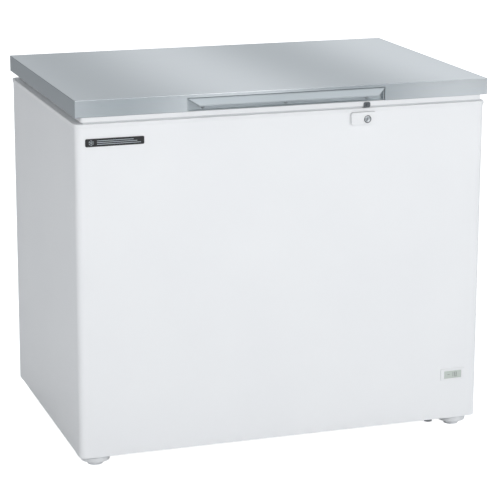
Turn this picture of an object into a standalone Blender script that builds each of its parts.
"""Chest freezer with a stainless steel lid, a recessed grip, a key lock and a hanging basket.

Metres, +Z up. X is the width, the front faces -Y, and the origin is under the middle of the
whole envelope, on the floor.
"""
import math

import bmesh
import bpy
from mathutils import Matrix, Vector

# ---------------------------------------------------------------- driving sizes
GAP = 0.0003                 # assembly clearance between neighbouring pieces

LID_WIDTH = 1.045
LID_DEPTH = 0.700
HEIGHT = 0.905
LID_SKIRT = 0.041
LID_CORNER = 0.003
LID_SHEET = 0.0008
LID_EDGE = 0.0005
LID_FRAME_DROP = 0.0118      # white frame of the lid that shows under the skirt
LID_FRAME_SIDE = 0.015       # its set-back from the skirt at the sides and the rear
LID_FRAME_FRONT = 0.0035     # its set-back at the front
LID_FRAME_WALL = 0.0015
LID_PLUG_DROP = 0.0140       # stepped middle of the lid lining, below its frame
LID_PLUG_CLEAR = 0.010
LID_PLUG_EDGE = 0.004
LID_FRAME_CORNER = 0.021
GASKET_WAIST = 0.0012
GASKET_HEIGHT = 0.0041
GASKET_SETBACK = 0.005
GASKET_WIDTH = 0.018

CABINET_SIDE_INSET = 0.0025  # panel to the lid's side face
CABINET_FRONT_INSET = 0.006
CABINET_REAR_INSET = 0.010
PANEL = 0.0012
CORNER = 0.016
REAR_RETURN = 0.022
RIM_HEIGHT = 0.0092
RIM_TOP = 0.0057
RIM_PROUD = 0.0023
RIM_LIP = 0.0018
RIM_OVERHANG = 0.008
WALL = 0.065                 # insulation, panel to lining
FLOOR_WALL = 0.070
LINING = 0.0012
COIL_SPACE = 0.009           # room for the tubes between lining and insulation
CONDENSER_SPACE = 0.009      # room for the tubes inside the rear panel
STEP_WIDTH = 0.240
STEP_HEIGHT = 0.230
STEP_WALL = 0.050
LINING_FILLET = 0.022

FOOT_HEIGHT = 0.030
FOOT_TOP_RADIUS = 0.037
FOOT_RING_RADIUS = 0.036
FOOT_CONE_TOP = 0.0125
FOOT_CONE_RADIUS = 0.021
PAD_RADIUS = 0.019
PAD_HEIGHT = 0.0047
PAD_EDGE = 0.0012
FOOT_FROM_SIDE = 0.050
FOOT_FROM_FRONT = 0.052

HANDLE_LENGTH = 0.500
HANDLE_OUT = 0.019
HANDLE_MITRE = 0.0225
HANDLE_DEPTH = 0.018         # depth of the recess behind the skirt
HANDLE_BELOW_TOP = 0.009
HANDLE_DROP = 0.013          # fall of the hood from the skirt to its lip
HANDLE_SHEET = 0.0025
LIP_HEIGHT = 0.0045
LIP_ROUND = 0.0012
RECESS_REACH = 0.010         # how far the recess's cutter stands out and down
GRIP_LEDGE = 0.0012           # floor of the recess, behind the lid frame's front
GRIP_CHEEK_INSET = 0.0002    # keeps an end wall inside the extrusion's skin
HANDLE_SCREW_SPREAD = 0.208
HANDLE_SCREW_RADIUS = 0.0050
HANDLE_SCREW_HEAD = 0.0022
SCREW_DRIVE = 0.0008
HANDLE_SCREW_ABOVE = 0.0085  # above the skirt's lower edge

LOCK_X = 0.204
LOCK_BELOW_TOP = 0.084
LOCK_LEFT = 0.041
LOCK_RIGHT = 0.024
LOCK_BELOW = 0.013
LOCK_CORNER = 0.005
LOCK_BODY_OUT = 0.010
LOCK_WALL = 0.0018
LOCK_RADIUS = 0.0065
LOCK_FLANGE = 0.0078
LOCK_RUNNING = 0.0005
FLANGE_OUT = 0.0016
FLANGE_EDGE = 0.0005
KEY_HALF_WIDTH = 0.0007
KEY_HALF_HEIGHT = 0.0035
KEY_DEPTH = 0.004
HOOK_SHEET = 0.0020
HOOK_SETBACK = 0.0026        # housing front to the hook's front face
HOOK_TIP = 0.0375
HOOK_ARM = 0.0055
HOOK_RING_WALL = 0.0022
HOOK_MOUTH_CLEAR = 0.0008
HOOK_SIDE_CLEAR = 0.001
KEEPER_WIDTH = 0.017
KEEPER_SHEET = 0.0020
KEEPER_HANG = 0.0035         # below the lid frame
KEEPER_PIN_RADIUS = 0.0025
KEEPER_PIN_UP = 0.0055       # pin centre above the keeper's lower end
KEEPER_PIN_OUT = 0.0036
KEEPER_BELOW_SKIRT = 0.002
KEEPER_CORNER = 0.004

DISPLAY_FROM_SIDE = 0.0705
DISPLAY_Z = 0.146
DISPLAY_SIZE = (0.066, 0.030)
DISPLAY_WINDOW = (0.047, 0.0195)
DISPLAY_OUT = 0.0030
BADGE_SIZE = (0.142, 0.019)
BADGE_FROM_SIDE = 0.0965
BADGE_BELOW_TOP = 0.102
BADGE_OUT = 0.0015
FITTING_CORNER = 0.003

HINGE_X = 0.330
HINGE_OUT = 0.016
HINGE_AXIS_BEHIND = 0.007
HINGE_AXIS_BELOW_SKIRT = 0.009
HINGE_WIDTH = 0.060
HINGE_PIN_RADIUS = 0.0030
KNUCKLE_RADIUS = 0.0055
KNUCKLE_WIDTH = 0.022
EAR = 0.0025
EAR_RADIUS = 0.0080
HINGE_PLATE = 0.0020
HINGE_BASE_DROP = 0.085
HINGE_LEAF_RISE = 0.034
HINGE_LEAF_UP = 0.002         # above the skirt's lower edge
EAR_FROM_KNUCKLE = 0.0155
EAR_FOOT = 0.030
PLATE_BELOW_AXIS = 0.010
PIN_PROUD = 0.0015
KNUCKLE_GRIP = 0.0002
COVER_WALL = 0.002
COVER_CORNER = 0.004
SPRING_WIRE = 0.0008
SPRING_TURNS = 5
SPRING_STEPS = 10
SPRING_RUN = 0.0105
SPRING_FROM_KNUCKLE = 0.0025

BASKET_LENGTH = 0.222
BASKET_DEPTH = 0.190
BASKET_WIRE = 0.003
BASKET_CLEAR = 0.005
BASKET_HANGER = 0.018
BASKET_HANGER_WIRE = 0.0033
BASKET_TAPER = 0.012
BASKET_CORNER = 0.015
BASKET_BELOW_LID = 0.004
HANGER_FROM_END = 0.030
HANGER_DROP = 0.020

COMPRESSOR_RADIUS = 0.072
COMPRESSOR_HEIGHT = 0.165
COMPRESSOR_PLATE = (0.200, 0.120)
COMPRESSOR_PLATE_THICK = 0.003
COMPRESSOR_PLATE_CORNER = 0.012
COMPRESSOR_BEHIND_MIDDLE = 0.120
POT_PROFILE = ((0.62, 0.001), (0.92, 0.024), (1.0, 0.050), (1.0, 0.080), (1.05, 0.081), (1.05, 0.089),
               (1.0, 0.090))
POT_DOME_START = 0.110
POT_DOME_ANGLES = (0, 25, 50, 72)
MOUNT_INSET = 0.016
MOUNT_WAIST = 0.75
SUCTION_RADIUS = 0.004
SUCTION_BEND = 0.020
DISCHARGE_RADIUS = 0.003
DISCHARGE_BEND = 0.015
PIPE_CLEAR = 0.002
PIPE_ABOVE_BASE = 0.080
PIPE_OFFSET = 0.030
PIPE_FROM_REAR = 0.030
PIPE_FROM_STEP = 0.020
PIPE_BELOW_BAY = 0.012
DISCHARGE_LEAN = 0.025
DRIER_PROFILE = ((0.003, -0.060), (0.003, -0.045), (0.0095, -0.038), (0.0095, 0.038), (0.003, 0.045),
                 (0.003, 0.060))
DRIER_FROM_POT = 0.060
DRIER_FROM_STEP = 0.030
DRIER_ABOVE_BASE = 0.060
RELAY_SIZE = (0.030, 0.050, 0.065)
RELAY_ABOVE_BASE = 0.060
RELAY_EDGE = 0.004
EVAPORATOR_RADIUS = 0.0030
EVAPORATOR_TURNS = 5
EVAPORATOR_ABOVE_STEP = 0.080
EVAPORATOR_BELOW_RIM = 0.060
CONDENSER_RADIUS = 0.0028
CONDENSER_RUNS = 8
CONDENSER_INSET = 0.060
CONDENSER_BEND = 0.022
MOUNT_HEIGHT = 0.020
MOUNT_RADIUS = 0.011
GRILLE_SIZE = (0.300, 0.190)
GRILLE_LIP = 0.010
GRILLE_SLOTS = 9
GRILLE_SLOT_HEIGHT = 0.009
GRILLE_SLOT_INSET = 0.012
GRILLE_SLOT_MARGIN = 0.008
GRILLE_CORNER = 0.006
GRILLE_FROM_FRONT = 0.250
GRILLE_ABOVE_BASE = 0.125
KNOB_FROM_EDGE = 0.016
KNOB_TO_SLOTS = 0.018
KNOB_GROOVE = 0.0012
THERMOSTAT_HALF = 0.022
THERMOSTAT_DEEP = 0.030
THERMOSTAT_EDGE = 0.003
KNOB_RADIUS = 0.017
KNOB_THICK = 0.008
DRAIN_RADIUS = 0.011
DRAIN_BORE = 0.0085
DRAIN_SPOUT_FROM_SIDE = 0.1275
DRAIN_SPOUT_DROP = 0.008
DRAIN_INSET = 0.060          # drain mouth from the step's foot and from the tub's front
DRAIN_SPOUT_FROM_PANEL = 0.005
DRAIN_RUN_ABOVE_BASE = 0.030
DRAIN_BEND = 0.024
DRAIN_EASE = 0.004           # room round the drain in the insulation
PLUG_HEAD = 0.014
PLUG_HEAD_HEIGHT = 0.006
PLUG_STEM = 0.012
GLAND_PROFILE = ((0.014, 0), (0.014, 0.003), (0.010, 0.0035), (0.010, 0.011), (0.0075, 0.0125), (0.004, 0.0125),
                 (0.004, 0.0095))
GLAND_ABOVE_BASE = 0.060
ROUND = 24                   # sides of a round piece

# ---------------------------------------------------------------- places that follow
OVERALL_DEPTH = HANDLE_OUT + LID_DEPTH + HINGE_OUT
FRONT = -OVERALL_DEPTH / 2 + HANDLE_OUT
BACK = FRONT + LID_DEPTH
SKIRT_Z = HEIGHT - LID_SKIRT
FRAME_Z = SKIRT_Z - LID_FRAME_DROP
RIM_Z = FRAME_Z - GASKET_HEIGHT - 2 * GAP
RIM_UNDER_Z = RIM_Z - RIM_TOP
RIM_LIP_Z = RIM_Z - RIM_HEIGHT
HALF_WIDTH = LID_WIDTH / 2 - CABINET_SIDE_INSET
CAB_FRONT = FRONT + CABINET_FRONT_INSET
CAB_BACK = BACK - CABINET_REAR_INSET
CAB_MID = (CAB_FRONT + CAB_BACK) / 2
HALF_DEPTH = (CAB_BACK - CAB_FRONT) / 2
TUB_HALF_WIDTH = HALF_WIDTH - WALL
TUB_HALF_DEPTH = HALF_DEPTH - WALL
FLOOR_Z = FOOT_HEIGHT + FLOOR_WALL
STEP_X = TUB_HALF_WIDTH - STEP_WIDTH
STEP_Z = FLOOR_Z + STEP_HEIGHT
BAY_X = STEP_X + STEP_WALL
BAY_Z = STEP_Z - STEP_WALL
OPEN_HALF_WIDTH = TUB_HALF_WIDTH - RIM_OVERHANG
OPEN_HALF_DEPTH = TUB_HALF_DEPTH - RIM_OVERHANG
BASE_TOP = FOOT_HEIGHT + PANEL
HINGE_Y = BACK + HINGE_AXIS_BEHIND
HINGE_Z = SKIRT_Z - HINGE_AXIS_BELOW_SKIRT
LOCK_Z = HEIGHT - LOCK_BELOW_TOP
LOCK_FRONT = CAB_FRONT - LOCK_BODY_OUT
HOOK_FRONT = LOCK_FRONT + HOOK_SETBACK
KEEPER_BACK = FRONT + LID_FRAME_FRONT - GAP
KEEPER_Z = FRAME_Z - KEEPER_HANG
KEEPER_PIN_Z = KEEPER_Z + KEEPER_PIN_UP
HOOK_REACH = KEEPER_PIN_Z - LOCK_Z
GRILLE_MID_Y = CAB_FRONT + GRILLE_FROM_FRONT
GRILLE_MID_Z = FOOT_HEIGHT + GRILLE_ABOVE_BASE
KNOB_Y = GRILLE_MID_Y + GRILLE_SIZE[0] / 2 - KNOB_RADIUS - KNOB_FROM_EDGE
KNOB_Z = GRILLE_MID_Z
COMPRESSOR_X = (BAY_X + HALF_WIDTH) / 2
COMPRESSOR_Y = CAB_MID + COMPRESSOR_BEHIND_MIDDLE
DRAIN_RUN_Z = FOOT_HEIGHT + DRAIN_RUN_ABOVE_BASE
DRAIN_SPOUT_X = LID_WIDTH / 2 - DRAIN_SPOUT_FROM_SIDE
DISPLAY_X = LID_WIDTH / 2 - DISPLAY_FROM_SIDE
BADGE_X = -LID_WIDTH / 2 + BADGE_FROM_SIDE
BADGE_Z = HEIGHT - BADGE_BELOW_TOP
PLATE_TOP_Z = HINGE_Z - PLATE_BELOW_AXIS


# ---------------------------------------------------------------- materials
def material(name, color, roughness, metallic=0.0):
    """A Principled material with the finish of one kind of piece."""
    made = bpy.data.materials.new(name)
    made.use_nodes = True
    shader = made.node_tree.nodes["Principled BSDF"]
    shader.inputs["Base Color"].default_value = (*color, 1.0)
    shader.inputs["Roughness"].default_value = roughness
    shader.inputs["Metallic"].default_value = metallic
    return made


FINISHES = {
    "stainless": ((0.60, 0.62, 0.63), 0.32, 1.0),
    "aluminium": ((0.72, 0.74, 0.75), 0.35, 1.0),
    "white_steel": ((0.86, 0.87, 0.88), 0.30, 0.0),
    "white_plastic": ((0.84, 0.85, 0.85), 0.42, 0.0),
    "grey_plastic": ((0.30, 0.31, 0.32), 0.50, 0.0),
    "dark_plastic": ((0.03, 0.03, 0.035), 0.45, 0.0),
    "lining": ((0.80, 0.82, 0.83), 0.38, 0.6),
    "foam": ((0.80, 0.70, 0.45), 0.95, 0.0),
    "rubber": ((0.70, 0.71, 0.71), 0.70, 0.0),
    "black_rubber": ((0.03, 0.03, 0.03), 0.75, 0.0),
    "zinc_steel": ((0.55, 0.56, 0.57), 0.40, 1.0),
    "dark_zinc": ((0.20, 0.21, 0.22), 0.42, 1.0),
    "black_steel": ((0.02, 0.02, 0.02), 0.35, 0.2),
    "copper": ((0.72, 0.40, 0.27), 0.30, 1.0),
    "wire": ((0.85, 0.86, 0.87), 0.35, 0.0),
    "screen": ((0.45, 0.50, 0.45), 0.20, 0.0),
}


# ---------------------------------------------------------------- shape helpers
def node(name, shape, finish, smooth=False):
    """Turns a bmesh into a named object with its own material."""
    mesh = bpy.data.meshes.new(name)
    bmesh.ops.recalc_face_normals(shape, faces=shape.faces)
    shape.to_mesh(mesh)
    shape.free()
    obj = bpy.data.objects.new(name, mesh)
    bpy.context.scene.collection.objects.link(obj)
    mesh.materials.append(material(f"{name}_{finish}", *FINISHES[finish]))
    if smooth:
        mesh.shade_smooth()
        mesh.set_sharp_from_angle(angle=math.radians(35))
    return obj


def hang_on(obj, origin):
    """Moves an object's origin to its joint axis and leaves its shape where it is."""
    obj.data.transform(Matrix.Translation(-Vector(origin)))
    obj.location = origin


def add_box(shape, low, high):
    """Adds a box between two corners to a bmesh."""
    size = [h - l for l, h in zip(low, high)]
    middle = [(h + l) / 2 for l, h in zip(low, high)]
    place = Matrix.Translation(middle) @ Matrix.Diagonal((*size, 1.0))
    return bmesh.ops.create_cube(shape, size=1.0, matrix=place)["verts"]


def box(low, high):
    shape = bmesh.new()
    add_box(shape, low, high)
    return shape


def prism(outline, axis, start, end):
    """Extrudes an outline of (a, b) points along X, Y or Z from start to end."""
    shape = bmesh.new()
    order = {"X": lambda a, b, c: (c, a, b), "Y": lambda a, b, c: (a, c, b), "Z": lambda a, b, c: (a, b, c)}
    corners = [shape.verts.new(order[axis](a, b, start)) for a, b in outline]
    face = shape.faces.new(corners)
    moved = bmesh.ops.extrude_face_region(shape, geom=[face])["geom"]
    step = Vector(order[axis](0, 0, end - start))
    bmesh.ops.translate(shape, vec=step, verts=[v for v in moved if isinstance(v, bmesh.types.BMVert)])
    return shape


def arc(cx, cy, radius, start, end, steps):
    """Points along an arc, angles in degrees."""
    turns = [math.radians(start + (end - start) * i / steps) for i in range(steps + 1)]
    return [(cx + radius * math.cos(t), cy + radius * math.sin(t)) for t in turns]


def rounded(x0, x1, y0, y1, radius, steps=4):
    """A rectangle's outline with round corners, counter-clockwise from the lower right."""
    r = max(radius, 0.0004)
    points = arc(x1 - r, y0 + r, r, -90, 0, steps)
    points += arc(x1 - r, y1 - r, r, 0, 90, steps)
    points += arc(x0 + r, y1 - r, r, 90, 180, steps)
    points += arc(x0 + r, y0 + r, r, 180, 270, steps)
    return points


def loft(rings, caps):
    """Joins rings of as many points each; with caps it closes the ends, without it closes the loop."""
    shape = bmesh.new()
    rows = [[shape.verts.new(point) for point in ring] for ring in rings]
    pairs = list(zip(rows, rows[1:]))
    if not caps:
        pairs.append((rows[-1], rows[0]))
    for low, high in pairs:
        for i in range(len(low)):
            j = (i + 1) % len(low)
            shape.faces.new((low[i], low[j], high[j], high[i]))
    if caps:
        shape.faces.new(rows[0])
        shape.faces.new(rows[-1])
    return shape


def frame_ring(z, inset_side, inset_front, inset_back, half_width, front, back, radius):
    """One level of a rectangular frame, set back from a reference rectangle."""
    r = radius - inset_side
    outline = rounded(-half_width + inset_side, half_width - inset_side, front + inset_front, back - inset_back, r)
    return [(x, y, z) for x, y in outline]


def turned(profile, centre, axis="Z", sides=ROUND):
    """Turns a profile of (radius, height) points about an axis through centre."""
    rows = []
    for radius, height in profile:
        ring = []
        for i in range(sides):
            t = 2 * math.pi * i / sides
            a, b = radius * math.cos(t), radius * math.sin(t)
            offset = {"Z": (a, b, height), "X": (height, a, b), "Y": (b, height, a)}[axis]
            ring.append(Vector(centre) + Vector(offset))
        rows.append(ring)
    return loft(rows, caps=True)


def pipe(points, radius, sides=8, bore=0.0):
    """A tube along a path; with a bore it is hollow and open at both ends."""
    path = [Vector(p) for p in points]
    tangents = []
    for i in range(len(path)):
        ahead, behind = path[min(i + 1, len(path) - 1)], path[max(i - 1, 0)]
        tangents.append((ahead - behind).normalized())
    side = tangents[0].orthogonal().normalized()
    rings, inner = [], []
    for spot, tangent in zip(path, tangents):
        side = (side - tangent * side.dot(tangent)).normalized()
        up = tangent.cross(side)
        turns = [2 * math.pi * i / sides for i in range(sides)]
        rings.append([spot + (side * math.cos(t) + up * math.sin(t)) * radius for t in turns])
        inner.append([spot + (side * math.cos(t) + up * math.sin(t)) * bore for t in turns])
    if bore:
        return loft(rings + inner[::-1], caps=False)
    return loft(rings, caps=True)


def bent_path(corners, radius, steps=4):
    """A route through corner points with its corners rounded."""
    corners = [Vector(c) for c in corners]
    path = [corners[0]]
    for before, corner, after in zip(corners, corners[1:], corners[2:]):
        into, out = (before - corner).normalized(), (after - corner).normalized()
        start, end = corner + into * radius, corner + out * radius
        for i in range(steps + 1):
            t = i / steps
            path.append(start * (1 - t) ** 2 + corner * 2 * t * (1 - t) + end * t * t)
    path.append(corners[-1])
    return path


def cut(obj, name, shape, operation="DIFFERENCE"):
    """Adds an exact Boolean with a hidden tool body."""
    tool = node(name, shape, "foam")
    tool.hide_render = True
    tool.display_type = "WIRE"
    step = obj.modifiers.new(name, "BOOLEAN")
    step.operation = operation
    step.solver = "EXACT"
    step.object = tool
    return tool


# ---------------------------------------------------------------- cabinet
def shell_outline(inset):
    """Plan of the wrapped sheet: the front and both sides, with a return at the rear."""
    w, f, b, r = HALF_WIDTH - inset, CAB_FRONT + inset, CAB_BACK - inset, CORNER - inset
    end = HALF_WIDTH - REAR_RETURN
    points = [(end, b)]
    points += arc(w - r, b - r, r, 90, 0, 4)
    points += arc(w - r, f + r, r, 0, -90, 4)
    points += arc(-w + r, f + r, r, 270, 180, 4)
    points += arc(-w + r, b - r, r, 180, 90, 4)
    return points + [(-end, b)]


def outer_shell():
    outline = shell_outline(0.0) + shell_outline(PANEL)[::-1]
    shell = node("outer_shell", prism(outline, "Z", FOOT_HEIGHT, RIM_UNDER_Z - GAP), "white_steel", smooth=True)
    half_y = GRILLE_SIZE[0] / 2 - GRILLE_LIP
    half_z = GRILLE_SIZE[1] / 2 - GRILLE_LIP
    low = (HALF_WIDTH - 2 * PANEL, GRILLE_MID_Y - half_y, GRILLE_MID_Z - half_z)
    high = (HALF_WIDTH + PANEL, GRILLE_MID_Y + half_y, GRILLE_MID_Z + half_z)
    cut(shell, "grille_cutout", box(low, high))
    return shell


def rear_panel():
    half = HALF_WIDTH - CORNER - GAP
    back = CAB_BACK - PANEL - GAP
    sheet = box((-half, back - PANEL, BASE_TOP + GAP), (half, back, RIM_UNDER_Z - GAP))
    return node("rear_panel", sheet, "zinc_steel")


def base_tray():
    inset = PANEL + GAP
    outline = rounded(-HALF_WIDTH + inset, HALF_WIDTH - inset, CAB_FRONT + inset, CAB_BACK - inset, CORNER - inset)
    tray = node("base_tray", prism(outline, "Z", FOOT_HEIGHT, FOOT_HEIGHT + PANEL), "zinc_steel")
    spout = (DRAIN_SPOUT_X, drain_spout_y(), FOOT_HEIGHT - PANEL)
    cut(tray, "spout_hole", turned([(DRAIN_RADIUS + GAP, 0), (DRAIN_RADIUS + GAP, 3 * PANEL)], spout))
    return tray


def tub_solid(grow, top, fillet):
    """The stepped body of the storage tub, grown by a wall on every side but its top."""
    x0, x1 = -TUB_HALF_WIDTH - grow, TUB_HALF_WIDTH + grow
    step_x, floor, step = STEP_X + grow, FLOOR_Z - grow, STEP_Z - grow
    outline = [(x0, floor), (step_x, floor), (step_x, step), (x1, step), (x1, top), (x0, top)]
    shape = prism(outline, "Y", CAB_MID - TUB_HALF_DEPTH - grow, CAB_MID + TUB_HALF_DEPTH + grow)
    edges = [e for e in shape.edges if min(v.co.z for v in e.verts) < top - 1e-6]
    bmesh.ops.bevel(shape, geom=edges, offset=fillet, segments=2, profile=0.5, affect="EDGES", material=-1)
    return shape


def inner_liner():
    top = RIM_UNDER_Z - GAP
    liner = node("inner_liner", tub_solid(LINING, top, LINING_FILLET), "lining", smooth=True)
    cut(liner, "tub_space", tub_solid(0.0, top + 0.02, LINING_FILLET))
    hole = (STEP_X - DRAIN_INSET, drain_mouth_y(), FLOOR_Z - 3 * LINING)
    cut(liner, "drain_hole", turned([(DRAIN_BORE, 0), (DRAIN_BORE, 6 * LINING)], hole))
    return liner


def foam_insulation():
    inset = PANEL + GAP
    outline = rounded(-HALF_WIDTH + inset, HALF_WIDTH - inset, CAB_FRONT + inset,
                      CAB_BACK - 2 * inset - PANEL - CONDENSER_SPACE, CORNER - inset)
    foam = node("foam_insulation", prism(outline, "Z", BASE_TOP + GAP, RIM_UNDER_Z - GAP), "foam")
    cut(foam, "liner_space", tub_solid(LINING + COIL_SPACE, RIM_Z, LINING_FILLET))
    low = (BAY_X, CAB_FRONT + STEP_WALL, BASE_TOP - GAP)
    high = (HALF_WIDTH, CAB_BACK, BAY_Z)
    cut(foam, "machine_bay", box(low, high))
    cut(foam, "drain_channel", pipe(drain_route(extra=DRAIN_EASE), DRAIN_RADIUS + 2 * GAP, sides=12))
    return foam


def rim_frame():
    """The moulded frame round the tub's mouth, with a lip down over the panels."""
    half, front, back = HALF_WIDTH + RIM_PROUD, CAB_FRONT - RIM_PROUD, CAB_BACK + RIM_PROUD
    hole_side = half - OPEN_HALF_WIDTH
    hole_depth = (back - front) / 2 - OPEN_HALF_DEPTH
    radius = CORNER + RIM_PROUD
    soften = 0.0012
    levels = [
        (RIM_Z - soften, 0.0, 0.0),
        (RIM_Z, soften, soften),
        (RIM_Z, hole_side, hole_depth),
        (RIM_UNDER_Z, hole_side, hole_depth),
        (RIM_UNDER_Z, RIM_LIP, RIM_LIP),
        (RIM_LIP_Z, RIM_LIP, RIM_LIP),
        (RIM_LIP_Z, 0.0, 0.0),
    ]
    rings = [frame_ring(z, side, deep, deep, half, front, back, radius) for z, side, deep in levels]
    return node("rim_frame", loft(rings, caps=False), "white_plastic", smooth=True)


# ---------------------------------------------------------------- cooling circuit
def evaporator_coil():
    """Tube wound round the tub above the step."""
    out = LINING + COIL_SPACE / 2
    low, high = STEP_Z + EVAPORATOR_ABOVE_STEP, RIM_UNDER_Z - EVAPORATOR_BELOW_RIM
    corner = rounded(-TUB_HALF_WIDTH - out, TUB_HALF_WIDTH + out, CAB_MID - TUB_HALF_DEPTH - out,
                     CAB_MID + TUB_HALF_DEPTH + out, LINING_FILLET + out)
    count = EVAPORATOR_TURNS * len(corner)
    path = [(*corner[i % len(corner)], low + (high - low) * i / count) for i in range(count + 1)]
    return node("evaporator_coil", pipe(path, EVAPORATOR_RADIUS, sides=6), "copper", smooth=True)


def condenser_coil():
    """Serpentine on the inside of the rear panel."""
    y = CAB_BACK - 2 * (PANEL + GAP) - CONDENSER_SPACE / 2
    half = HALF_WIDTH - CONDENSER_INSET
    low, high = BAY_Z + CONDENSER_INSET, RIM_UNDER_Z - CONDENSER_INSET
    corners = []
    for i in range(CONDENSER_RUNS):
        z = low + (high - low) * i / (CONDENSER_RUNS - 1)
        ends = (-half, half) if i % 2 == 0 else (half, -half)
        corners += [(x, y, z) for x in ends]
    route = bent_path(corners, CONDENSER_BEND, steps=2)
    return node("condenser_coil", pipe(route, CONDENSER_RADIUS, sides=6), "copper", smooth=True)


def compressor():
    """A welded pot with a seam band and a domed top, on a foot plate and four rubber mounts."""
    r, h = COMPRESSOR_RADIUS, COMPRESSOR_HEIGHT
    plate_z = BASE_TOP + GAP + MOUNT_HEIGHT + GAP
    half_x, half_y = COMPRESSOR_PLATE[1] / 2, COMPRESSOR_PLATE[0] / 2
    pot = [(r * share, plate_z + rise) for share, rise in POT_PROFILE]
    for angle in POT_DOME_ANGLES:
        turn = math.radians(angle)
        pot.append((r * math.cos(turn), plate_z + POT_DOME_START + (h - POT_DOME_START) * math.sin(turn)))
    made = node("compressor", turned(pot, (COMPRESSOR_X, COMPRESSOR_Y, 0)), "black_steel", smooth=True)
    outline = rounded(COMPRESSOR_X - half_x, COMPRESSOR_X + half_x, COMPRESSOR_Y - half_y, COMPRESSOR_Y + half_y,
                      COMPRESSOR_PLATE_CORNER)
    cut(made, "compressor_feet", prism(outline, "Z", plate_z, plate_z + COMPRESSOR_PLATE_THICK), "UNION")
    profile = [(MOUNT_RADIUS, 0), (MOUNT_RADIUS * MOUNT_WAIST, MOUNT_HEIGHT / 2), (MOUNT_RADIUS, MOUNT_HEIGHT)]
    for index, (sx, sy) in enumerate(((-1, -1), (1, -1), (1, 1), (-1, 1)), 1):
        x = COMPRESSOR_X + sx * (half_x - MOUNT_INSET)
        y = COMPRESSOR_Y + sy * (half_y - MOUNT_INSET)
        mount = turned(profile, (x, y, BASE_TOP + GAP), sides=12)
        node(f"compressor_mount_{index}", mount, "black_rubber", smooth=True)


def cooling_pipes():
    """Suction and discharge lines, filter drier and start relay in the machine bay."""
    r = COMPRESSOR_RADIUS * max(share for share, rise in POT_PROFILE)
    z = BASE_TOP + PIPE_ABOVE_BASE
    rear = CAB_BACK - PIPE_FROM_REAR
    top = BAY_Z - PIPE_BELOW_BAY
    side = BAY_X + PIPE_FROM_STEP
    start = (COMPRESSOR_X - PIPE_OFFSET, COMPRESSOR_Y + r + PIPE_CLEAR, z)
    route = [start, (start[0], rear, z), (side, rear, z), (side, rear, top)]
    node("suction_line", pipe(bent_path(route, SUCTION_BEND), SUCTION_RADIUS), "copper", smooth=True)
    start = (COMPRESSOR_X + PIPE_OFFSET, COMPRESSOR_Y + r + PIPE_CLEAR, z + PIPE_OFFSET)
    route = [start, (start[0], rear, start[2]), (start[0] + DISCHARGE_LEAN, rear, top)]
    node("discharge_line", pipe(bent_path(route, DISCHARGE_BEND), DISCHARGE_RADIUS), "copper", smooth=True)
    centre = (BAY_X + DRIER_FROM_STEP, COMPRESSOR_Y - r - DRIER_FROM_POT, BASE_TOP + DRIER_ABOVE_BASE)
    node("filter_drier", turned(DRIER_PROFILE, centre, "Y", 12), "copper", smooth=True)
    long, wide, tall = RELAY_SIZE
    face = COMPRESSOR_X - r - PIPE_CLEAR
    low = (face - long, COMPRESSOR_Y - wide / 2, BASE_TOP + RELAY_ABOVE_BASE)
    relay = box(low, (face, COMPRESSOR_Y + wide / 2, low[2] + tall))
    bmesh.ops.bevel(relay, geom=relay.edges[:], offset=RELAY_EDGE, segments=1, profile=0.5, affect="EDGES",
                    material=-1)
    node("start_relay_cover", relay, "dark_plastic")


# ---------------------------------------------------------------- drain
def drain_mouth_y():
    return CAB_MID - TUB_HALF_DEPTH + DRAIN_INSET


def drain_spout_y():
    return CAB_FRONT + PANEL + DRAIN_RADIUS + DRAIN_SPOUT_FROM_PANEL


def drain_route(extra=0.0):
    """From the tub floor down, across under the step and out through the base."""
    mouth = (STEP_X - DRAIN_INSET, drain_mouth_y())
    spout = (DRAIN_SPOUT_X, drain_spout_y())
    corners = [
        (*mouth, FLOOR_Z - LINING - GAP + extra * 3),
        (*mouth, DRAIN_RUN_Z),
        (*spout, DRAIN_RUN_Z),
        (*spout, FOOT_HEIGHT - DRAIN_SPOUT_DROP - extra),
    ]
    return bent_path(corners, DRAIN_BEND)


def drain():
    tube = pipe(drain_route(), DRAIN_RADIUS, sides=12, bore=DRAIN_BORE)
    node("drain_tube", tube, "grey_plastic", smooth=True)
    x, y = STEP_X - DRAIN_INSET, drain_mouth_y()
    fit = DRAIN_BORE - 2 * GAP
    profile = [(DRAIN_BORE * 0.7, -PLUG_STEM), (fit, -PLUG_STEM * 0.6), (fit, GAP), (PLUG_HEAD, GAP),
               (PLUG_HEAD, PLUG_HEAD_HEIGHT * 0.6), (PLUG_HEAD * 0.8, PLUG_HEAD_HEIGHT)]
    plug = node("drain_plug", turned(profile, (x, y, FLOOR_Z)), "white_plastic", smooth=True)
    hang_on(plug, (x, y, FLOOR_Z))


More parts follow.
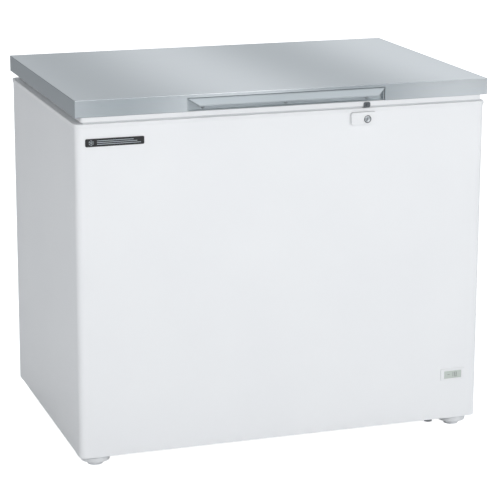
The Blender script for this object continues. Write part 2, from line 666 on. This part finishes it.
# ---------------------------------------------------------------- vent grille and thermostat
def vent_grille():
    face = HALF_WIDTH + GAP
    half_y, half_z = GRILLE_SIZE[0] / 2, GRILLE_SIZE[1] / 2
    outline = rounded(GRILLE_MID_Y - half_y, GRILLE_MID_Y + half_y, GRILLE_MID_Z - half_z, GRILLE_MID_Z + half_z,
                      GRILLE_CORNER)
    grille = node("vent_grille", prism(outline, "X", face, face + CABINET_SIDE_INSET - 2 * GAP), "white_plastic")
    slots = bmesh.new()
    first = GRILLE_MID_Y - half_y + GRILLE_LIP + GRILLE_SLOT_INSET
    last = KNOB_Y - KNOB_RADIUS - KNOB_TO_SLOTS
    floor = GRILLE_MID_Z - half_z + GRILLE_LIP + GRILLE_SLOT_MARGIN
    pitch = (2 * half_z - 2 * GRILLE_LIP - 2 * GRILLE_SLOT_MARGIN) / GRILLE_SLOTS
    outside = face + 2 * CABINET_SIDE_INSET
    for i in range(GRILLE_SLOTS):
        low = floor + pitch * (i + 0.5) - GRILLE_SLOT_HEIGHT / 2
        add_box(slots, (face - PANEL, first, low), (outside, last, low + GRILLE_SLOT_HEIGHT))
    cut(grille, "vent_slots", slots)
    running = KNOB_RADIUS + 2 * GAP
    hole = turned([(running, 0), (running, 4 * CABINET_SIDE_INSET)], (face - PANEL, KNOB_Y, KNOB_Z), "X")
    cut(grille, "knob_hole", hole)


def thermostat():
    outer = HALF_WIDTH + CABINET_SIDE_INSET - 2 * GAP
    inner = outer - KNOB_THICK
    grip = [(KNOB_RADIUS, 0), (KNOB_RADIUS, KNOB_THICK * 0.5), (KNOB_RADIUS * 0.9, KNOB_THICK)]
    knob = node("thermostat_knob", turned(grip, (inner, KNOB_Y, KNOB_Z), "X"), "grey_plastic", smooth=True)
    groove = KNOB_GROOVE
    low = (outer - groove, KNOB_Y - groove, KNOB_Z + KNOB_RADIUS * 0.2)
    cut(knob, "knob_mark", box(low, (outer + groove, KNOB_Y + groove, KNOB_Z + KNOB_RADIUS * 0.8)))
    hang_on(knob, (inner, KNOB_Y, KNOB_Z))
    half, deep = THERMOSTAT_HALF, THERMOSTAT_DEEP
    body = box((inner - GAP - deep, KNOB_Y - half, KNOB_Z - half), (inner - GAP, KNOB_Y + half, KNOB_Z + half))
    bmesh.ops.bevel(body, geom=body.edges[:], offset=THERMOSTAT_EDGE, segments=1, profile=0.5, affect="EDGES",
                    material=-1)
    node("thermostat_body", body, "dark_plastic")


def cord_gland():
    """The gland that the mains cord leaves by, low on the rear panel."""
    y = CAB_BACK - PANEL - GAP + 2 * GAP
    gland = turned(GLAND_PROFILE, (DRAIN_SPOUT_X, y, FOOT_HEIGHT + GLAND_ABOVE_BASE), "Y", 16)
    node("cord_gland", gland, "dark_plastic", smooth=True)


# ---------------------------------------------------------------- feet
def feet():
    side = LID_WIDTH / 2 - FOOT_FROM_SIDE
    rows = {"front": FRONT + FOOT_FROM_FRONT, "rear": BACK - FOOT_FROM_FRONT}
    for row, y in rows.items():
        for hand, x in (("left", -side), ("right", side)):
            cup = [(FOOT_CONE_RADIUS, PAD_HEIGHT + GAP), (FOOT_RING_RADIUS, FOOT_CONE_TOP),
                   (FOOT_TOP_RADIUS, FOOT_HEIGHT - GAP)]
            node(f"foot_cup_{row}_{hand}", turned(cup, (x, y, 0)), "white_plastic", smooth=True)
            pad = [(PAD_RADIUS - PAD_EDGE, 0), (PAD_RADIUS, PAD_EDGE), (PAD_RADIUS, PAD_HEIGHT)]
            node(f"foot_pad_{row}_{hand}", turned(pad, (x, y, 0)), "white_plastic", smooth=True)


# ---------------------------------------------------------------- front fittings
def display():
    w, h = DISPLAY_SIZE
    face = CAB_FRONT - GAP
    outline = rounded(DISPLAY_X - w / 2, DISPLAY_X + w / 2, DISPLAY_Z - h / 2, DISPLAY_Z + h / 2, FITTING_CORNER)
    bezel = node("display_bezel", prism(outline, "Y", face, face - DISPLAY_OUT), "white_plastic")
    ww, wh = DISPLAY_WINDOW
    low = (DISPLAY_X - ww / 2, face - 2 * DISPLAY_OUT, DISPLAY_Z - wh / 2)
    cut(bezel, "display_window", box(low, (DISPLAY_X + ww / 2, face + DISPLAY_OUT, DISPLAY_Z + wh / 2)))
    low = (low[0] + GAP, face - DISPLAY_OUT * 0.6, low[2] + GAP)
    node("display_screen", box(low, (DISPLAY_X + ww / 2 - GAP, face, DISPLAY_Z + wh / 2 - GAP)), "screen")


def badge():
    w, h = BADGE_SIZE
    face = CAB_FRONT - GAP
    outline = rounded(BADGE_X - w / 2, BADGE_X + w / 2, BADGE_Z - h / 2, BADGE_Z + h / 2, FITTING_CORNER)
    node("front_badge", prism(outline, "Y", face, face - BADGE_OUT), "dark_plastic")


# ---------------------------------------------------------------- lock
def lock():
    """Housing, key barrel and the hook that turns up over the keeper's pin."""
    x, z = LOCK_X, LOCK_Z
    top = RIM_LIP_Z - GAP
    back = CAB_FRONT - GAP
    outline = rounded(x - LOCK_LEFT, x + LOCK_RIGHT, z - LOCK_BELOW, top, LOCK_CORNER)
    housing = node("lock_housing", prism(outline, "Y", back, LOCK_FRONT), "white_plastic")
    inside = rounded(x - LOCK_LEFT + LOCK_WALL, x + LOCK_RIGHT - LOCK_WALL, z - LOCK_BELOW + LOCK_WALL,
                     top - LOCK_WALL, LOCK_CORNER - LOCK_WALL)
    cut(housing, "housing_space", prism(inside, "Y", back + LOCK_WALL, LOCK_FRONT + LOCK_WALL))
    low = (x - HOOK_TIP, HOOK_FRONT - 2 * GAP, top - 2 * LOCK_WALL)
    high = (x + HOOK_ARM + HOOK_SIDE_CLEAR, HOOK_FRONT + HOOK_SHEET + 2 * GAP, top + LOCK_WALL)
    cut(housing, "hook_slot", box(low, high))
    hole = turned([(LOCK_RADIUS + LOCK_RUNNING, 0), (LOCK_RADIUS + LOCK_RUNNING, 3 * LOCK_WALL)],
                  (x, LOCK_FRONT - LOCK_WALL, z), "Y")
    cut(housing, "barrel_hole", hole)
    face = LOCK_FRONT - FLANGE_OUT
    profile = [(LOCK_FLANGE - FLANGE_EDGE, face), (LOCK_FLANGE, face + FLANGE_EDGE), (LOCK_FLANGE, LOCK_FRONT - GAP),
               (LOCK_RADIUS, LOCK_FRONT - GAP), (LOCK_RADIUS, back - GAP)]
    barrel = node("lock_barrel", turned(profile, (x, 0, z), "Y"), "zinc_steel", smooth=True)
    low = (x - KEY_HALF_WIDTH, face - FLANGE_OUT, z - KEY_HALF_HEIGHT)
    cut(barrel, "key_slot", box(low, (x + KEY_HALF_WIDTH, face + KEY_DEPTH, z + KEY_HALF_HEIGHT)))
    hang_on(barrel, (x, LOCK_FRONT, z))
    hook = node("lock_hook", hook_outline(x, z), "dark_zinc")
    hang_on(hook, (x, LOCK_FRONT, z))


def hook_outline(x, z):
    """The hook at rest, its arm along -X; a curved mouth on its upper side takes the keeper's pin."""
    ring, bore = LOCK_RADIUS + HOOK_RING_WALL, LOCK_RADIUS + GAP
    mouth = KEEPER_PIN_RADIUS + HOOK_MOUTH_CLEAR
    near, far = HOOK_REACH - mouth, HOOK_REACH + mouth
    low = -HOOK_ARM
    outline = [(-ring * 0.6, low), (-HOOK_TIP, low), (-HOOK_TIP, 0.0), (-far, HOOK_ARM * 0.9), (-far, -mouth),
               (-near, -mouth), (-near, HOOK_ARM * 0.7), (-ring * 0.6, HOOK_ARM)]
    ring_points = arc(0, 0, ring, 138, -138, 14)
    points = [(x + a, z + b) for a, b in outline + ring_points]
    shape = prism(points, "Y", HOOK_FRONT, HOOK_FRONT + HOOK_SHEET)
    blank = node("hook_blank", shape, "zinc_steel")
    hole = turned([(bore, 0), (bore, 3 * HOOK_SHEET)], (x, HOOK_FRONT - HOOK_SHEET, z), "Y")
    tool = node("hook_bore", hole, "zinc_steel")
    step = blank.modifiers.new("bore", "BOOLEAN")
    step.object = tool
    bpy.context.view_layer.update()
    solved = bmesh.new()
    solved.from_object(blank, bpy.context.evaluated_depsgraph_get())
    bpy.data.objects.remove(blank)
    bpy.data.objects.remove(tool)
    return solved


def lock_keeper():
    """A small plate on the lid frame with the pin that the hook takes."""
    half = KEEPER_WIDTH / 2
    outline = rounded(LOCK_X - half, LOCK_X + half, KEEPER_Z, SKIRT_Z - KEEPER_BELOW_SKIRT, KEEPER_CORNER)
    keeper = node("lock_keeper", prism(outline, "Y", KEEPER_BACK - KEEPER_SHEET, KEEPER_BACK), "dark_zinc")
    r = KEEPER_PIN_RADIUS
    centre = (LOCK_X, KEEPER_BACK - KEEPER_SHEET / 2, KEEPER_PIN_Z)
    pin = turned([(r, -KEEPER_PIN_OUT - KEEPER_SHEET / 2), (r, 0)], centre, "Y", 16)
    cut(keeper, "keeper_pin", pin, "UNION")


# ---------------------------------------------------------------- hinges
def hinges():
    for hand, x in (("left", -HINGE_X), ("right", HINGE_X)):
        hinge_base(hand, x)
        hinge_leaf(hand, x)
        reach = KNUCKLE_WIDTH / 2 + EAR_FROM_KNUCKLE + EAR + PIN_PROUD
        pin = [(HINGE_PIN_RADIUS, -reach), (HINGE_PIN_RADIUS, reach)]
        node(f"hinge_pin_{hand}", turned(pin, (x, HINGE_Y, HINGE_Z), "X", 16), "zinc_steel", smooth=True)
        hinge_spring(hand, x)
        hinge_cover(hand, x)


def ear_outline(back, low):
    """Side view of an ear: a straight foot on the plate and a round eye about the pin."""
    eye = arc(HINGE_Y, HINGE_Z, EAR_RADIUS, -40, 150, 8)
    return [(back, low), (HINGE_Y + EAR_RADIUS * 0.6, low)] + eye + [(back, PLATE_TOP_Z)]


def hinge_base(hand, x):
    back = CAB_BACK + RIM_PROUD + GAP
    half = HINGE_WIDTH / 2
    low = (x - half, back, PLATE_TOP_Z - HINGE_BASE_DROP)
    base = node(f"hinge_base_{hand}", box(low, (x + half, back + HINGE_PLATE, PLATE_TOP_Z)), "zinc_steel")
    inner = KNUCKLE_WIDTH / 2 + EAR_FROM_KNUCKLE
    for side, sign in (("inner", -1), ("outer", 1)):
        edges = sorted((x + sign * inner, x + sign * (inner + EAR)))
        ear = prism(ear_outline(back + HINGE_PLATE / 2, PLATE_TOP_Z - EAR_FOOT), "X", *edges)
        cut(base, f"ear_{side}_{hand}", ear, "UNION")
    running = HINGE_PIN_RADIUS + GAP
    hole = turned([(running, -half), (running, half)], (x, HINGE_Y, HINGE_Z), "X", 16)
    cut(base, f"ear_bores_{hand}", hole)


def hinge_leaf(hand, x):
    face = BACK + GAP
    low = SKIRT_Z + HINGE_LEAF_UP
    half = HINGE_WIDTH / 2
    high = (x + half, face + HINGE_PLATE, low + HINGE_LEAF_RISE)
    leaf = node(f"hinge_leaf_{hand}", box((x - half, face, low), high), "zinc_steel")
    web_half = KNUCKLE_WIDTH / 2
    web = [(face, low + 2 * HINGE_PLATE), (face, HINGE_Z), (HINGE_Y, HINGE_Z),
           (HINGE_Y, HINGE_Z + KNUCKLE_RADIUS * 0.9),
           (face + HINGE_PLATE, low + 2 * HINGE_PLATE)]
    cut(leaf, f"leaf_web_{hand}", prism(web, "X", x - web_half, x + web_half), "UNION")
    reach = web_half + KNUCKLE_GRIP
    knuckle = [(KNUCKLE_RADIUS, -reach), (KNUCKLE_RADIUS, reach)]
    cut(leaf, f"knuckle_{hand}", turned(knuckle, (x, HINGE_Y, HINGE_Z), "X", 20), "UNION")
    bore = [(HINGE_PIN_RADIUS + GAP, -half), (HINGE_PIN_RADIUS + GAP, half)]
    cut(leaf, f"knuckle_bore_{hand}", turned(bore, (x, HINGE_Y, HINGE_Z), "X", 16))


def hinge_spring(hand, x):
    radius = HINGE_PIN_RADIUS + SPRING_WIRE + 2 * GAP
    start = x + KNUCKLE_WIDTH / 2 + SPRING_FROM_KNUCKLE
    count = SPRING_TURNS * SPRING_STEPS
    path = []
    for i in range(count + 1):
        t = 2 * math.pi * i / SPRING_STEPS
        y, z = HINGE_Y + radius * math.cos(t), HINGE_Z + radius * math.sin(t)
        path.append((start + SPRING_RUN * i / count, y, z))
    node(f"hinge_spring_{hand}", pipe(path, SPRING_WIRE, sides=5), "zinc_steel", smooth=True)


def hinge_cover(hand, x):
    """A plastic cap over the plate below the ears, open towards the cabinet."""
    inner_face = CAB_BACK + RIM_PROUD + 3 * GAP + HINGE_PLATE
    outer_face = BACK + HINGE_OUT
    half, wall = HINGE_WIDTH / 2, COVER_WALL
    top = PLATE_TOP_Z - EAR_FOOT - 2 * GAP
    low = PLATE_TOP_Z - HINGE_BASE_DROP + wall / 2
    outer = rounded(x - half, x + half, low, top, COVER_CORNER)
    inner = rounded(x - half + wall, x + half - wall, low + wall, top - wall, COVER_CORNER - wall)
    cover = node(f"hinge_cover_{hand}", prism(outer, "Y", inner_face, outer_face), "grey_plastic")
    cut(cover, f"cover_space_{hand}", prism(inner, "Y", inner_face - wall, outer_face - wall))


# ---------------------------------------------------------------- lid
def recess_box(grow):
    low = (-HANDLE_LENGTH / 2 - grow, FRONT - RECESS_REACH, SKIRT_Z - RECESS_REACH)
    high = (HANDLE_LENGTH / 2 + grow, FRONT + HANDLE_DEPTH + grow, HEIGHT - HANDLE_BELOW_TOP + grow)
    return box(low, high)


def lid_skin():
    half, t = LID_WIDTH / 2, LID_SHEET
    edge = LID_EDGE
    levels = [(HEIGHT, edge), (HEIGHT - edge, 0.0), (SKIRT_Z, 0.0), (SKIRT_Z, t), (HEIGHT - t, t)]
    rings = [frame_ring(z, i, i, i, half, FRONT, BACK, LID_CORNER) for z, i in levels]
    skin = node("lid_skin", loft(rings, caps=True), "stainless", smooth=True)
    cut(skin, "skin_recess", recess_box(GAP))


def frame_levels(grow, top):
    """The lid lining from the bottom of its plug up to the top of its frame; grow sets it inwards."""
    plug_side = LID_WIDTH / 2 - OPEN_HALF_WIDTH + LID_PLUG_CLEAR
    plug_front = CAB_MID - OPEN_HALF_DEPTH + LID_PLUG_CLEAR - FRONT
    plug_back = BACK - (CAB_MID + OPEN_HALF_DEPTH - LID_PLUG_CLEAR)
    soft = LID_PLUG_EDGE
    low = FRAME_Z - LID_PLUG_DROP
    return [
        (low + grow, plug_side + soft + grow, plug_front + soft + grow, plug_back + soft + grow),
        (low + soft + grow, plug_side + grow, plug_front + grow, plug_back + grow),
        (FRAME_Z + grow, plug_side + grow, plug_front + grow, plug_back + grow),
        (FRAME_Z + grow, LID_FRAME_SIDE + grow, LID_FRAME_FRONT + grow, LID_FRAME_SIDE + grow),
        (top, LID_FRAME_SIDE + grow, LID_FRAME_FRONT + grow, LID_FRAME_SIDE + grow),
    ]


def lid_rings(levels):
    half = LID_WIDTH / 2
    corner = LID_FRAME_CORNER
    return [frame_ring(z, side, front, back, half, FRONT, BACK, corner) for z, side, front, back in levels]


def lid_liner():
    top = SKIRT_Z - GAP
    rings = lid_rings(frame_levels(0.0, top))
    rings += lid_rings(frame_levels(LID_FRAME_WALL, top))[::-1]
    node("lid_liner", loft(rings, caps=True), "white_plastic", smooth=True)


def lid_foam():
    inset = LID_SHEET + GAP
    levels = frame_levels(LID_FRAME_WALL + GAP, SKIRT_Z + GAP)
    levels += [(SKIRT_Z + GAP, inset, inset, inset), (HEIGHT - LID_SHEET - GAP, inset, inset, inset)]
    foam = node("lid_foam", loft(lid_rings(levels), caps=True), "foam")
    cut(foam, "foam_recess", recess_box(GAP))


def lid_gasket():
    side, front = LID_FRAME_SIDE + GASKET_SETBACK, LID_FRAME_FRONT + GASKET_SETBACK
    top, low, mid = FRAME_Z - GAP, RIM_Z + GAP, (FRAME_Z + RIM_Z) / 2
    w, waist = GASKET_WIDTH, GASKET_WAIST
    levels = [(top, 0), (mid, waist), (low, 0), (low, w), (mid, w - waist), (top, w)]
    rings = lid_rings([(z, side + i, front + i, side + i) for z, i in levels])
    node("lid_gasket", loft(rings, caps=False), "rubber", smooth=True)


def handle():
    """One extrusion: the recess's back plate, its ledge, and a hood with mitred ends that falls to a lip."""
    t, top = HANDLE_SHEET, HEIGHT - HANDLE_BELOW_TOP - GAP
    back, low = FRONT + HANDLE_DEPTH - GAP, SKIRT_Z + GAP
    nose, edge, ledge = top - HANDLE_DROP, LIP_ROUND, FRONT + LID_FRAME_FRONT
    lip = FRONT - HANDLE_OUT
    outline = [(back, low), (back, top), (FRONT, top), (lip + edge, nose), (lip, nose - edge),
               (lip, nose - LIP_HEIGHT + edge), (lip + edge, nose - LIP_HEIGHT), (lip + t, nose - LIP_HEIGHT),
               (lip + t + edge, nose - t), (FRONT, top - t), (back - t, top - t), (back - t, low + GRIP_LEDGE),
               (ledge, low + GRIP_LEDGE), (ledge, low)]
    half = HANDLE_LENGTH / 2 - GAP
    shape = prism(outline, "X", -half, half)
    for sign in (-1, 1):
        normal = Vector((sign * HANDLE_OUT, -HANDLE_MITRE, 0)).normalized()
        geometry = shape.verts[:] + shape.edges[:] + shape.faces[:]
        done = bmesh.ops.bisect_plane(shape, geom=geometry, dist=1e-7, plane_co=(sign * half, FRONT, 0),
                                      plane_no=normal, clear_outer=True)
        edges = [e for e in done["geom_cut"] if isinstance(e, bmesh.types.BMEdge)]
        bmesh.ops.holes_fill(shape, edges=edges, sides=0)
    profile = node("handle_profile", shape, "aluminium")
    skin = GRIP_CHEEK_INSET
    for hand, sign in (("left", -1), ("right", 1)):
        near, far = sorted((sign * (half - t), sign * (half - skin)))
        cheek = box((near, ledge + skin, low + skin), (far, back - t / 2, top - t / 2))
        cut(profile, f"grip_cheek_{hand}", cheek, "UNION")
    grip_screws(back - t - GAP)


def grip_screws(face):
    r, h, z = HANDLE_SCREW_RADIUS, HANDLE_SCREW_HEAD, SKIRT_Z + HANDLE_SCREW_ABOVE
    head = [(r * 0.55, -h), (r * 0.9, -h * 0.7), (r, -h * 0.2), (r, 0)]
    for name, x in (("left", -HANDLE_SCREW_SPREAD), ("middle", 0.0), ("right", HANDLE_SCREW_SPREAD)):
        screw = node(f"handle_screw_{name}", turned(head, (x, face, z), "Y", 16), "zinc_steel", smooth=True)
        slot = box((x - r / 2, face - 2 * h, z - SCREW_DRIVE), (x + r / 2, face - h / 2, z + SCREW_DRIVE))
        cut(screw, f"screw_drive_{name}", slot)


# ---------------------------------------------------------------- basket
def basket():
    """A wire basket's outer shape; its hangers run on the rim at the front and rear of the tub's mouth."""
    x1 = TUB_HALF_WIDTH - BASKET_CLEAR
    x0 = x1 - BASKET_LENGTH
    half = OPEN_HALF_DEPTH - BASKET_CLEAR
    top = FRAME_Z - LID_PLUG_DROP - BASKET_BELOW_LID
    low = top - BASKET_DEPTH
    taper = BASKET_TAPER
    outer = [(low, taper), (top, 0.0), (top, BASKET_WIRE), (low + BASKET_WIRE, taper + BASKET_WIRE)]
    rings = []
    for z, inset in outer:
        y0, y1 = CAB_MID - half + inset, CAB_MID + half - inset
        plan = rounded(x0 + inset, x1 - inset, y0, y1, BASKET_CORNER, steps=2)
        rings.append([(x, y, z) for x, y in plan])
    made = node("wire_basket", loft(rings, caps=True), "wire")
    w, seat = BASKET_HANGER_WIRE, RIM_Z + GAP
    reach = half + BASKET_CLEAR + RIM_OVERHANG
    for front in (-1, 1):
        for end, x in (("low", x0 + HANGER_FROM_END), ("high", x1 - HANGER_FROM_END - BASKET_HANGER)):
            ys = [CAB_MID + front * y for y in (half - w, half - w, reach, reach, half, half)]
            foot = top - HANGER_DROP
            zs = [foot, seat + w, seat + w, seat, seat, foot]
            arm = prism(list(zip(ys, zs)), "X", x, x + BASKET_HANGER)
            cut(made, f"hanger_{end}_{front}", arm, "UNION")


# ---------------------------------------------------------------- assembly
def build():
    for old in list(bpy.data.objects):
        bpy.data.objects.remove(old)
    outer_shell()
    rear_panel()
    base_tray()
    foam_insulation()
    inner_liner()
    rim_frame()
    evaporator_coil()
    condenser_coil()
    compressor()
    cooling_pipes()
    drain()
    vent_grille()
    thermostat()
    cord_gland()
    feet()
    display()
    badge()
    lock()
    lock_keeper()
    hinges()
    lid_skin()
    lid_liner()
    lid_foam()
    lid_gasket()
    handle()
    basket()


build()
